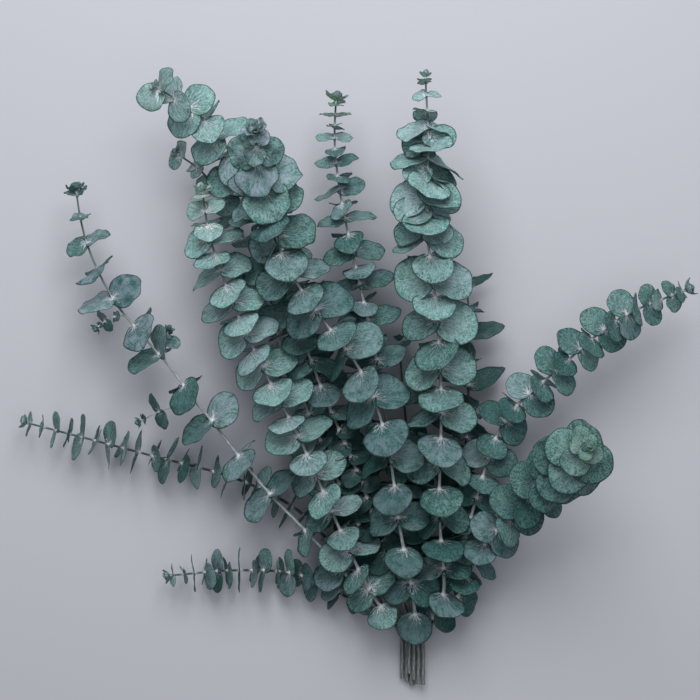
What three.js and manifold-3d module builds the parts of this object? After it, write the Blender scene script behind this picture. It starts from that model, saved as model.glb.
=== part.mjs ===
// A bunch of dried eucalyptus, laid down: leafy stems fan out from a tight sheaf of cut ends.
// Every leafy stem is one body, its stalk and its round leaves grown together.
// Units are millimetres. X runs across the fan, Y from the cut ends to the tips, Z up from the surface.
import * as THREE from "three";
import Module from "manifold-3d";

// Sheaf of cut ends: stalks lie side by side in three rows, each row in the grooves of the one below.
const SHEAF_X = 47;
const SHEAF_Y = -208;
const SHEAF_PITCH = 3.8;
const SHEAF_ROW_RISE = 3.5;
const STRAIGHT_TO_BEND = 6;
const CUT_LENGTH = 36;
const CUT_STAGGER = 5;

// Stalk: square in section, tapering from the cut end to the tip, with a bud on the tip.
const BUTT_HALF = 1.4;
const TIP_HALF = 0.65;
const NODE_LENGTH = 1.3;
const PATH_STEPS = 400;
const BARE_STEP = 20;
const BEND_STEP = 8;
const BEND_END = 66;
const BUD = [[1.4, 1.9], [3.6, 1.5]];
const BUD_LENGTH = 5.4;

// Leaf: a thin, almost round blade that sits on the stalk without a leaf stalk of its own.
const BLADE_THICKNESS = 0.7;
const LEAF_LENGTH_SHARE = 0.84;
const RIM_ANGLES = [124, 62, 0, -62, -124];
const CUP_SHARE = 0.07;
const FOLD_SHARE = 0.05;
const CLOSING_EXPONENT = 8;

// The lowest leaves of a stem are smaller than those above them, and no two leaves sit quite alike.
const LOWEST = { lowestShare: 0.8, lowestReach: 0.25 };
const SWING_SPREAD = 17;
const LEAN_SPREAD = 12;
const TURN_SPREAD = 20;
const WIDTH_SPREAD = 0.07;

// Leaves keep this far from the other stems, and this far from the rest of their own stem.
const STEM_GAP = 0.6;
const OWN_GAP = 0.2;

// Whole bunch: the middle of its outline stands on the origin.
const SHIFT_X = 2.6;
const SHIFT_Y = 3.2;

const LEAF_GREEN = 0x5f8a7c;

// Routes are hand-laid points from just above the sheaf to the tip. Row and column say where the cut end
// lies in the sheaf. leaf is the widest leaf, tipShare the share of it that the last leaf keeps, taper the
// share of the leafy length over which the leaves shrink to that, and close draws the pairs together toward
// the tip. lowestShare is the share of leaf that the lowest leaves have, and lowestReach how far up the
// stem they go on growing. lean is the angle between a leaf and the stalk toward the tip, hang what the
// leaves on the upper side add to it, closing what the last leaves lose from it, and turn tips the side
// leaves' faces up. droop swings the side leaves down round the stalk.
const STEMS = [
  {
    name: "stem_front_middle", row: 2, column: 0, phase: 0, bareLength: 64, pairs: 25,
    leaf: 36, tipShare: 0.3, taper: 0.22, close: 0.68, lean: 106, hang: 22, closing: 28, turn: 38, droop: 12,
    route: [[47, -181, 34], [35, -119, 52], [24, -47, 68], [5, 5, 78], [-26, 48, 86], [-53, 88, 93],
      [-68, 134, 103], [-75, 167, 120], [-77, 189, 147]],
  },
  {
    name: "stem_tall", row: 2, column: 1, phase: 90, bareLength: 66, pairs: 26,
    leaf: 36.5, tipShare: 0.3, taper: 0.2, close: 0.36, lean: 107, hang: 12, closing: 18, turn: 42, droop: 20,
    route: [[69, -177, 34], [66, -103, 54], [67, -15, 72], [63, 55, 84], [54, 129, 95], [56, 183, 99],
      [54, 236, 92]],
  },
  {
    name: "stem_left_column", row: 2, column: -1, phase: 0, bareLength: 72, pairs: 25,
    leaf: 32, tipShare: 0.5, taper: 0.16, close: 0.24, lean: 92, hang: 22, closing: 12, turn: 34, droop: 12,
    route: [[16, -177, 32], [-12, -121, 46], [-44, -48, 58], [-74, 11, 66], [-99, 66, 72], [-115, 114, 78],
      [-120, 147, 86]],
  },
  {
    name: "stem_right_rosette", row: 2, column: 2, phase: 0, bareLength: 70, pairs: 19,
    leaf: 35, tipShare: 0.34, taper: 0.2, close: 0.62, lean: 104, hang: 16, closing: 34, turn: 36,
    lowestShare: 0.62, lowestReach: 0.7,
    route: [[80, -177, 30], [102, -132, 46], [130, -101, 64], [152, -77, 84], [168, -60, 106],
      [177, -50, 132]],
  },
  {
    name: "stem_far_left", row: 1, column: -2.5, phase: 0, bareLength: 70, pairs: 14,
    leaf: 33, tipShare: 0.36, taper: 0.32, close: 0.45, lean: 88, hang: 34, closing: 16, turn: 38,
    route: [[11, -179, 24], [-27, -135, 36], [-73, -86, 47], [-119, -27, 52], [-157, 21, 54], [-194, 66, 52],
      [-216, 114, 49], [-223, 150, 47]],
    shoots: [
      { from: 0.78, pairs: 3, leaf: 11, end: [-204, 43, 56] },
      { from: 0.68, pairs: 3, leaf: 14, end: [-149, 38, 62] },
      { from: 0.6, pairs: 3, leaf: 18, end: [-170, -32, 52] },
    ],
  },
  {
    name: "stem_right", row: 1, column: 1.5, phase: 0, bareLength: 70, pairs: 25,
    leaf: 25.5, tipShare: 0.56, taper: 0.24, close: 0.42, lean: 97, hang: 22, closing: 8, turn: 52,
    route: [[74, -178, 22], [95, -100, 36], [119, -32, 46], [162, 10, 54], [209, 49, 60], [259, 71, 64]],
  },
  {
    name: "stem_top_left", row: 1, column: -0.5, phase: 90, bareLength: 240, pairs: 17,
    leaf: 34, tipShare: 0.7, taper: 0.3, close: 0.2, lean: 100, hang: 20, closing: 14, turn: 26,
    route: [[37, -178, 20], [5, -84, 36], [-30, 0, 48], [-63, 94, 60], [-91, 166, 72], [-120, 205, 88],
      [-153, 226, 112]],
  },
  {
    name: "stem_top_middle", row: 1, column: 0.5, phase: 0, bareLength: 140, pairs: 25,
    leaf: 29, tipShare: 0.5, taper: 0.5, close: 0.42, lean: 96, hang: 22, closing: 22, turn: 34,
    route: [[44, -178, 20], [31, -80, 40], [17, 12, 50], [0, 89, 54], [-13, 151, 56], [-17, 191, 56],
      [-16, 221, 55]],
  },
  {
    name: "stem_slender_left", row: 1, column: -1.5, phase: 90, bareLength: 190, pairs: 15,
    leaf: 24, tipShare: 0.62, taper: 0.3, close: 0.25, lean: 100, hang: 25, closing: 24, turn: 38,
    route: [[31, -178, 17], [-9, -93, 29], [-51, 6, 40], [-84, 102, 48], [-118, 161, 54], [-141, 179, 60]],
  },
  {
    name: "stem_low_left", row: 0, column: -1, phase: 0, bareLength: 110, pairs: 24,
    leaf: 23, tipShare: 0.5, taper: 0.16, close: 0.2, lean: 90, hang: 16, closing: 16, turn: 12,
    route: [[26, -179, 12], [-5, -151, 16], [-45, -107, 20], [-94, -81, 21], [-166, -61, 22],
      [-264, -35, 25]],
  },
  {
    name: "stem_lowest_left", row: 0, column: -2, phase: 0, bareLength: 86, pairs: 16,
    leaf: 22, tipShare: 0.5, taper: 0.2, close: 0.15, lean: 90, hang: 18, closing: 16, turn: 20,
    route: [[-3, -179, 12], [-45, -158, 18], [-94, -154, 19], [-149, -158, 21]],
  },
  {
    name: "stem_inner_left", row: 0, column: 0, phase: 0, bareLength: 90, pairs: 8,
    leaf: 32, tipShare: 0.6, taper: 0.2, close: 0.1, lean: 104, hang: 24, closing: 20, turn: 40,
    route: [[34, -171, 12], [-9, -97, 17], [-27, -24, 20], [-38, 66, 16]],
  },
  {
    name: "stem_inner_middle", row: 0, column: 1, phase: 0, bareLength: 90, pairs: 5,
    leaf: 32, tipShare: 0.6, taper: 0.2, close: 0.1, lean: 104, hang: 24, closing: 20, turn: 40,
    route: [[50, -171, 12], [47, -97, 19], [40, -32, 22], [35, 30, 21]],
  },
  {
    name: "stem_inner_right", row: 0, column: 2, phase: 0, bareLength: 90, pairs: 12,
    leaf: 32, tipShare: 0.7, taper: 0.2, close: 0.1, lean: 72, hang: 20, closing: 10, turn: 34,
    route: [[71, -171, 12], [84, -101, 19], [90, -32, 22], [91, 28, 23], [90, 78, 24]],
  },
];

const wasm = await Module();
wasm.setup();

// Small repeatable random numbers, so that every leaf is drawn the same way each time.
function makeRandom(seed) {
  let state = seed >>> 0;
  return () => {
    state = (Math.imul(state, 1664525) + 1013904223) >>> 0;
    return state / 4294967296;
  };
}

function solidFrom(points, triangles) {
  const mesh = new wasm.Mesh({
    numProp: 3,
    vertProperties: new Float32Array(points.flatMap((point) => [point.x, point.y, point.z])),
    triVerts: new Uint32Array(triangles),
  });
  return new wasm.Manifold(mesh);
}

function cutEnd(stem, index) {
  const x = SHEAF_X + stem.column * SHEAF_PITCH;
  const z = BUTT_HALF + stem.row * SHEAF_ROW_RISE;
  const stagger = CUT_STAGGER * Math.sin(index * 2.4);
  return [
    [x, SHEAF_Y - CUT_LENGTH - stagger, z],
    [x, SHEAF_Y - STRAIGHT_TO_BEND, z],
    [x, SHEAF_Y, z],
  ];
}

// Even steps along a smooth curve through the points, each with the directions ahead, to the side and up.
function walkPath(points) {
  const path = new THREE.CatmullRomCurve3(points, false, "centripetal");
  path.arcLengthDivisions = PATH_STEPS;
  const centres = path.getSpacedPoints(PATH_STEPS);
  const steps = [];
  let side = null;
  for (let i = 0; i <= PATH_STEPS; i += 1) {
    const next = centres[Math.min(i + 1, PATH_STEPS)];
    const ahead = next.clone().sub(centres[Math.max(i - 1, 0)]).normalize();
    if (side === null) {
      side = ahead.clone().cross(new THREE.Vector3(0, 0, 1));
    }
    side = side.clone().addScaledVector(ahead, -side.dot(ahead)).normalize();
    steps.push({ centre: centres[i], ahead, side, up: side.clone().cross(ahead) });
  }
  return { steps, length: path.getLength() };
}

function blend(low, high, share) {
  return low + (high - low) * share;
}

// One square ring of the stalk. Its corners start at the side and upper edge and go round by the upper one.
// Where the stalk lies on the surface its underside is flat.
function ringCorners(step, half, shift, twist) {
  const turned = turnedSides(step, twist);
  const centre = step.centre.clone().addScaledVector(step.ahead, shift);
  return [[1, 1], [-1, 1], [-1, -1], [1, -1]].map(([sideways, upward]) => {
    const corner = centre.clone().addScaledVector(turned.side, sideways * half);
    corner.addScaledVector(turned.up, upward * half);
    return corner.setZ(Math.max(0, corner.z));
  });
}

function turnedSides(step, twist) {
  const angle = THREE.MathUtils.degToRad(twist);
  const side = step.side.clone().multiplyScalar(Math.cos(angle)).addScaledVector(step.up, Math.sin(angle));
  const up = step.up.clone().multiplyScalar(Math.cos(angle)).addScaledVector(step.side, -Math.sin(angle));
  return { side, up };
}

// The four faces of the stalk look up, to one side, down and to the other side.
const FACE_ANGLES = [90, 180, 270, 0];

// A leaf's corners: root corners on the stalk, then the rim round to the other side, upper face before lower.
function leafCorners(node, leaf) {
  const lean = THREE.MathUtils.degToRad(leaf.lean);
  const turn = THREE.MathUtils.degToRad(leaf.turn);
  const turned = turnedSides(node.step, node.twist + FACE_ANGLES[leaf.side] + leaf.swing);
  const out = turned.side;
  const flatAcross = turned.up;
  const ahead = node.step.ahead;
  const along = ahead.clone().multiplyScalar(Math.cos(lean)).addScaledVector(out, Math.sin(lean));
  const flatFace = ahead.clone().multiplyScalar(Math.sin(lean)).addScaledVector(out, -Math.cos(lean));
  const roll = flatAcross.z >= 0 ? turn : -turn;
  const face = flatFace.clone().multiplyScalar(Math.cos(roll)).addScaledVector(flatAcross, Math.sin(roll));
  const across = along.clone().cross(face);
  const square = turnedSides(node.step, node.twist + FACE_ANGLES[leaf.side]);
  const root = node.step.centre.clone().addScaledVector(square.side, node.half);
  const length = leaf.width * LEAF_LENGTH_SHARE;
  const blade = (lengthways, sideways, lift) => {
    const point = root.clone().addScaledVector(along, (length * (1 + lengthways)) / 2);
    point.addScaledVector(across, (leaf.width * sideways) / 2);
    const rim = lengthways * lengthways + sideways * sideways;
    const cup = leaf.width * (CUP_SHARE * leaf.cup * (rim - 1) + FOLD_SHARE * Math.abs(sideways));
    return point.addScaledVector(face, cup + lift);
  };
  const left = leaf.side;
  const right = (leaf.side + 1) % 4;
  const loop = (ring, lift) => [
    ring[right],
    ...RIM_ANGLES.map((degrees) => {
      const angle = THREE.MathUtils.degToRad(degrees);
      return blade(Math.cos(angle), Math.sin(angle), lift);
    }),
    ring[left],
  ];
  return {
    top: [...loop(node.rings[1], BLADE_THICKNESS / 2), blade(0, 0, BLADE_THICKNESS / 2)],
    bottom: [...loop(node.rings[0], -BLADE_THICKNESS / 2), blade(0, 0, -BLADE_THICKNESS / 2)],
  };
}

// Faces of a leaf as triples of corner numbers, upper corners first. The face at its root stays open.
const LOOP = RIM_ANGLES.length + 2;
const leafFaces = [];
for (let i = 0; i < LOOP; i += 1) {
  const next = (i + 1) % LOOP;
  const below = LOOP + 1;
  leafFaces.push([LOOP, i, next], [below + LOOP, below + next, below + i]);
  if (next > 0) {
    leafFaces.push([below + i, below + next, next], [below + i, next, i]);
  }
}
const ROOT_FACES = [[LOOP - 1, LOOP * 2, LOOP + 1], [LOOP - 1, LOOP + 1, 0]];

function leafPoints(node, leaf) {
  const { top, bottom } = leafCorners(node, leaf);
  return [...top, ...bottom];
}

function lowest(points) {
  return Math.min(...points.map((point) => point.z));
}

// A leaf that would reach below the surface is laid back or forward along the stalk until it only touches.
function bendToSurface(node, leaf, limit) {
  let kept = limit;
  let tooLow = leaf.lean;
  if (lowest(leafPoints(node, { ...leaf, lean: limit })) < 0) {
    return null;
  }
  for (let i = 0; i < 24; i += 1) {
    const middle = (kept + tooLow) / 2;
    if (lowest(leafPoints(node, { ...leaf, lean: middle })) < 0) {
      tooLow = middle;
    } else {
      kept = middle;
    }
  }
  return { ...leaf, lean: kept };
}

// Ways in which a leaf gives way to its neighbours: bend, swing round the stalk, and size.
const GIVES = [
  [0, 0, 1], [10, 0, 1], [-10, 0, 1], [20, 0, 1], [0, 14, 1], [0, -14, 1], [-20, 0, 1], [30, 0, 1],
  [12, 22, 0.94], [12, -22, 0.94], [-12, 22, 0.94], [-12, -22, 0.94], [-32, 0, 0.94], [42, 0, 0.94],
  [0, 34, 0.88], [0, -34, 0.88], [25, 30, 0.85], [25, -30, 0.85], [-25, 30, 0.85], [-25, -30, 0.85],
  [0, 0, 0.78], [22, 0, 0.75], [-22, 0, 0.75], [0, 20, 0.7], [0, -20, 0.7], [40, 0, 0.68], [-40, 0, 0.68],
];
const LEAST_LEAN = 22;
const MOST_LEAN = 160;

// Everything set down so far, as small solids with a centre and a reach, to test new leaves against.
const placed = [];

function setDown(solid, points, owner, segment) {
  const sum = points.reduce((total, point) => total.add(point), new THREE.Vector3());
  const centre = sum.divideScalar(points.length);
  const reach = Math.max(...points.map((point) => point.distanceTo(centre)));
  return { solid, centre, reach, owner, segment };
}

// A leaf may touch its own stalk only where it grows from it, at its node and the lengths next to that.
function isClear(item) {
  return placed.every((other) => {
    const own = other.owner === item.owner;
    const gap = own ? OWN_GAP : STEM_GAP;
    if (item.centre.distanceTo(other.centre) > item.reach + other.reach + gap) {
      return true;
    }
    const atRoot = own && other.segment !== null && Math.abs(other.segment - item.segment) <= 1;
    return atRoot || item.solid.minGap(other.solid, gap) >= gap;
  });
}

function placeLeaf(stem, node, wanted) {
  for (const [bend, swing, size] of GIVES) {
    const lean = Math.min(MOST_LEAN, Math.max(LEAST_LEAN, wanted.lean + bend));
    const leaf = { ...wanted, lean, swing: wanted.swing + swing, width: wanted.width * size };
    const isLow = lowest(leafPoints(node, leaf)) < 0;
    const limits = [MOST_LEAN, LEAST_LEAN];
    const options = isLow ? limits.map((limit) => bendToSurface(node, leaf, limit)) : [leaf];
    for (const option of options.filter((choice) => choice !== null)) {
      const points = leafPoints(node, option);
      const solid = solidFrom(points, [...leafFaces, ...ROOT_FACES].flat());
      const item = setDown(solid, points, stem.name, node.upperRing - 1);
      if (isClear(item)) {
        placed.push({ ...item, segment: null });
        return option;
      }
    }
  }
  return null;
}

// Rings of a stalk from the cut end to the tip. Two rings close together make a node, where a pair grows.
function makeRings(stem) {
  const rings = [];
  const nodes = [];
  const addRing = (at, shift) => {
    const half = blend(BUTT_HALF, TIP_HALF, at / PATH_STEPS) * stem.stoutness;
    const corners = ringCorners(stem.steps[at], half, shift, stem.phase);
    rings.push(corners);
    return { corners, half };
  };
  const firstNode = Math.round((stem.bareLength / stem.length) * PATH_STEPS);
  for (let distance = 0; distance < stem.bareLength - BEND_STEP / 2;) {
    addRing(Math.round((distance / stem.length) * PATH_STEPS), 0);
    const isBend = distance > CUT_LENGTH / 2 && distance < BEND_END;
    distance += isBend ? BEND_STEP : BARE_STEP;
  }
  const lastNode = PATH_STEPS - Math.ceil((NODE_LENGTH / stem.length) * PATH_STEPS);
  for (let pair = 0; pair < stem.pairs; pair += 1) {
    const share = pair / (stem.pairs - 1);
    const at = Math.round(blend(firstNode, lastNode, share + stem.close * share * (1 - share)));
    const lower = addRing(at, -NODE_LENGTH / 2);
    const upper = addRing(at, NODE_LENGTH / 2);
    nodes.push({
      step: stem.steps[at],
      half: lower.half,
      twist: stem.phase,
      rings: [lower.corners, upper.corners],
      upperRing: rings.length - 1,
      share,
      pair,
    });
  }
  const tip = stem.steps[PATH_STEPS];
  for (const [ahead, swell] of BUD) {
    rings.push(ringCorners(tip, TIP_HALF * swell * stem.stoutness, ahead, stem.phase));
  }
  return { rings, nodes };
}

// Short lengths of stalk, as closed solids, for the leaves to keep clear of.
const PRISM_FACES = [[0, 1, 2], [0, 2, 3], [4, 6, 5], [4, 7, 6]];
for (let face = 0; face < 4; face += 1) {
  const next = (face + 1) % 4;
  PRISM_FACES.push([next, face, 4 + face], [next, 4 + face, 4 + next]);
}

function setDownStalk(stem) {
  for (let segment = 0; segment + 1 < stem.rings.length; segment += 1) {
    const points = [...stem.rings[segment], ...stem.rings[segment + 1]];
    placed.push(setDown(solidFrom(points, PRISM_FACES.flat()), points, stem.name, segment));
  }
}

function growLeaves(stem) {
  const random = makeRandom(1000 + stem.index);
  const spread = (amount) => (random() * 2 - 1) * amount;
  const leaves = [];
  for (const node of stem.nodes) {
    const tapered = blend(stem.tipShare, 1, THREE.MathUtils.smoothstep(1 - node.share, 0, stem.taper));
    const grown = blend(stem.lowestShare, 1, Math.min(1, node.share / stem.lowestReach));
    const width = stem.leaf * tapered * grown;
    const closing = stem.closing * node.share ** CLOSING_EXPONENT;
    const firstSide = node.pair % 2;
    for (const side of [firstSide, firstSide + 2]) {
      const { side: out } = turnedSides(node.step, node.twist + FACE_ANGLES[side]);
      const upward = Math.max(0, out.dot(node.step.up));
      const wanted = {
        side,
        swing: spread(SWING_SPREAD) - stem.droop * out.dot(node.step.side),
        lean: stem.lean + stem.hang * upward - closing + spread(LEAN_SPREAD),
        width: width * (1 + spread(WIDTH_SPREAD)),
        turn: stem.turn * Math.abs(out.dot(node.step.side)) + spread(TURN_SPREAD),
        cup: spread(1),
      };
      const leaf = placeLeaf(stem, node, wanted);
      if (leaf !== null) {
        leaves.push({ node, leaf });
      }
    }
  }
  return leaves;
}

// The stalk's skin is four strips of faces; a leaf takes the place of the short face that it grows from.
function stemSolid(stem, leaves) {
  const points = stem.rings.flat();
  const triangles = [];
  const taken = new Map(leaves.map((entry) => [`${entry.node.upperRing} ${entry.leaf.side}`, entry]));
  for (let upper = 1; upper < stem.rings.length; upper += 1) {
    for (let face = 0; face < 4; face += 1) {
      const right = (face + 1) % 4;
      const low = (upper - 1) * 4;
      const high = upper * 4;
      const entry = taken.get(`${upper} ${face}`);
      if (entry === undefined) {
        triangles.push([low + right, low + face, high + face], [low + right, high + face, high + right]);
        continue;
      }
      const { top, bottom } = leafCorners(entry.node, entry.leaf);
      const numbers = [];
      for (const [loop, ring] of [[top, high], [bottom, low]]) {
        numbers.push(ring + right);
        for (const corner of loop.slice(1, LOOP - 1)) {
          numbers.push(points.push(corner) - 1);
        }
        numbers.push(ring + face, points.push(loop[LOOP]) - 1);
      }
      triangles.push(...leafFaces.map((triple) => triple.map((corner) => numbers[corner])));
    }
  }
  const last = (stem.rings.length - 1) * 4;
  const apex = points.push(stem.steps[PATH_STEPS].centre.clone()
    .addScaledVector(stem.steps[PATH_STEPS].ahead, BUD_LENGTH)) - 1;
  triangles.push([0, 1, 2], [0, 2, 3]);
  for (let face = 0; face < 4; face += 1) {
    triangles.push([last + ((face + 1) % 4), last + face, apex]);
  }
  return solidFrom(points, triangles.flat());
}

function prepareStem(stem, index) {
  const whole = { stoutness: 1, droop: 0, ...LOWEST, ...stem, index };
  Object.assign(whole, walkPath(whole.points));
  Object.assign(whole, makeRings(whole));
  return whole;
}

const stems = STEMS.map((stem, index) => {
  const points = [...cutEnd(stem, index), ...stem.route].map((point) => new THREE.Vector3(...point));
  const main = prepareStem({ ...stem, points }, index);
  const shoots = (stem.shoots ?? []).map((shoot, number) => {
    const root = main.steps[Math.round(shoot.from * PATH_STEPS)];
    const end = new THREE.Vector3(...shoot.end);
    const outward = end.clone().sub(root.centre).multiplyScalar(0.45);
    const bend = root.centre.clone().add(outward).addScaledVector(root.ahead, 3);
    return prepareStem({
      ...stem,
      ...shoot,
      name: `${stem.name}_shoot_${number + 1}`,
      points: [root.centre.clone(), bend, end],
      bareLength: 8,
      stoutness: 0.62,
      tipShare: 0.5,
    }, index);
  });
  return { ...main, shoots };
});
for (const stem of stems) {
  setDownStalk(stem);
  stem.shoots.forEach(setDownStalk);
}

const bunch = new THREE.Group();
bunch.position.set(SHIFT_X, SHIFT_Y, 0);
for (const stem of stems) {
  let solid = stemSolid(stem, growLeaves(stem));
  for (const shoot of stem.shoots) {
    solid = solid.add(stemSolid(shoot, growLeaves(shoot)));
  }
  const body = solid.getMesh();
  const geometry = new THREE.BufferGeometry();
  geometry.setAttribute("position", new THREE.BufferAttribute(body.vertProperties, 3));
  geometry.setIndex(new THREE.BufferAttribute(body.triVerts, 1));
  const material = new THREE.MeshStandardMaterial({ color: LEAF_GREEN, roughness: 0.8, metalness: 0 });
  const mesh = new THREE.Mesh(geometry, material);
  mesh.name = stem.name;
  bunch.add(mesh);
}

export default bunch;
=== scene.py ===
# A bunch of dried eucalyptus laid on a pale surface, seen from straight above.
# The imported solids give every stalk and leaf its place; the script grows the fine forms on them.
import math
from collections import defaultdict

import bpy
import numpy as np
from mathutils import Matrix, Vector


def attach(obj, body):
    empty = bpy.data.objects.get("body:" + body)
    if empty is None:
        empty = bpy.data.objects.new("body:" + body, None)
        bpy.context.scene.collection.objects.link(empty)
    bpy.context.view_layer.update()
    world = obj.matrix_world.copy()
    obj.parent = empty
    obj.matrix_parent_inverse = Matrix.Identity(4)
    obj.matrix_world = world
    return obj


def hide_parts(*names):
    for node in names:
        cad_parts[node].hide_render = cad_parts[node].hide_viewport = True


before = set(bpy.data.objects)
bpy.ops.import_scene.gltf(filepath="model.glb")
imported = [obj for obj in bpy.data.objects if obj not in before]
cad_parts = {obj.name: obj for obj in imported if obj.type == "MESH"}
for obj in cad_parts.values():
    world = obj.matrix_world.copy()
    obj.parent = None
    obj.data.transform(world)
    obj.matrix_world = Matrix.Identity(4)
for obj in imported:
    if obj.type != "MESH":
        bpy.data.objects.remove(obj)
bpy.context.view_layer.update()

# The stalks
# Each is one woody shoot, about 3 mm thick at the cut end, brown under a pale waxy skin that wears
# through. At every pair of leaves it has a swollen joint, where the wax is thickest and almost white.
MM = 0.001
STALK_SIDES = 10
STALK_STEP = 1.1
BUTT_RADIUS = 1.55
TIP_RADIUS = 0.75
SHOOT_SHARE = 0.62
JOINT_SWELL = 0.55
JOINT_REACH = 1.7
NO_JOINT_NEAR = 99.0

# The growing bud at a tip: how far along it each ring is, and its width against the stalk's
BUD_LENGTH = 4.5
BUD_SHAPE = [(0.15, 1.5), (0.35, 1.9), (0.6, 1.6), (0.85, 0.8), (1.0, 0.15)]

# The round closed buds beside some tips: how far along each ring is and its radius, in millimetres
CLOSED_BUDS = {"stem_front_middle": 2, "stem_low_left": 1, "stem_far_left": 1}
CLOSED_BUD_SHAPE = [
    (0.0, 0.5), (1.6, 0.5), (2.2, 1.3), (3.2, 2.3), (4.4, 2.7), (5.6, 2.3), (6.5, 1.3), (6.9, 0.3),
]
CLOSED_BUD_LEAN = 0.8
FULL_WAX_RADIUS = 12
CLOSED_BUD_YOUTH = 0.7

# How much wax is left on the bare skin and at the joints, and how green the last length of a stalk is
BARE_WAX = 0.3
JOINT_WAX = 0.95
WAX_REACH = 1.9
LEAFLESS_SHARE = 0.4
YOUNG_GREEN = 0.8
YOUNG_FROM = 0.7
YOUNG_FADE = 0.25
YOUNG_WAX_LOSS = 0.4
DARK_STALKS = (
    "stem_low_left", "stem_lowest_left", "stem_inner_left", "stem_inner_middle", "stem_inner_right",
)

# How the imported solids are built, in millimetres: each face of a blade is a fan of seven triangles. Its rim
# runs from one root corner over the tip to the other, and the widest corners stand 62 degrees off the tip
BLADE_SIDES = 7
ROOT_CORNERS = (0, 6)
BLADE_CORNERS = slice(1, 6)
WIDE_CORNERS = (2, 4)
TIP_CORNER = 3
BLADE_THICKNESS = 0.7
MIDDLE_SLACK = 0.02
RIM_SLACK = 0.05
WIDEST_CORNER = math.radians(62)
CUT_DEPTH = 1
SAME_RING = 4.1
NEXT_RING = 1
ROUNDED_TO = 0.002


def plain_mesh(node):
    """Corners in millimetres, shared by the triangles that meet there, and the triangles."""
    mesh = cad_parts[node].data
    corners = np.empty(len(mesh.vertices) * 3)
    mesh.vertices.foreach_get("co", corners)
    corners = corners.reshape(-1, 3) / MM
    _, first, same = np.unique(
        np.round(corners / ROUNDED_TO).astype(np.int64), axis=0, return_index=True, return_inverse=True
    )
    mesh.calc_loop_triangles()
    triangles = np.empty(len(mesh.loop_triangles) * 3, dtype=np.int32)
    mesh.loop_triangles.foreach_get("vertices", triangles)
    return corners[first], same.ravel()[triangles].reshape(-1, 3)


def rim_round(triangles, centre):
    """The corners round a fan of triangles, in order."""
    after = {}
    for triangle in triangles:
        place = list(triangle).index(centre)
        after[triangle[(place + 1) % 3]] = triangle[(place + 2) % 3]
    start = next(iter(after))
    order = [start]
    while after.get(order[-1], start) != start:
        order.append(after[order[-1]])
    return order if len(order) == len(after) else []


def find_blades(corners, triangles):
    """Every leaf's two faces: the middle corner of each, and its rim from root corner to root corner."""
    fans = defaultdict(list)
    for triangle in triangles:
        for corner in triangle:
            fans[corner].append(triangle)
    middles = [corner for corner, fan in fans.items() if len(fan) == BLADE_SIDES]
    places = corners[middles]
    blades = []
    for i, middle in enumerate(middles):
        gaps = np.linalg.norm(places[i + 1:] - places[i], axis=1)
        for j in np.nonzero(np.abs(gaps - BLADE_THICKNESS) < MIDDLE_SLACK)[0]:
            other = middles[i + 1 + j]
            rims = [rim_round(fans[middle], middle), rim_round(fans[other], other)]
            faces = []
            for rim, opposite in (rims, rims[::-1]):
                if not rim or not opposite:
                    continue
                near = [np.linalg.norm(corners[opposite] - corners[c], axis=1).min() for c in rim]
                roots = [k for k in range(BLADE_SIDES) if abs(near[k] - BLADE_THICKNESS) > RIM_SLACK]
                if len(roots) == 2 and (roots[1] - roots[0]) in (1, BLADE_SIDES - 1):
                    turn = roots[1] if roots[1] - roots[0] == 1 else roots[0]
                    faces.append(rim[turn:] + rim[:turn])
            if len(faces) == 2:
                blades.append({"middles": [middle, other], "rims": faces})
    return blades


def walk_from_cut(corners, links, start):
    """How far along the plant's skin each corner lies from the cut end."""
    far = np.full(len(corners), np.inf)
    far[start] = 0
    edge = list(start)
    while edge:
        ahead = []
        for corner in edge:
            for other in links[corner]:
                reach = far[corner] + np.linalg.norm(corners[other] - corners[corner])
                if reach < far[other] - 1e-9:
                    far[other] = reach
                    ahead.append(other)
        edge = ahead
    return far


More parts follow.
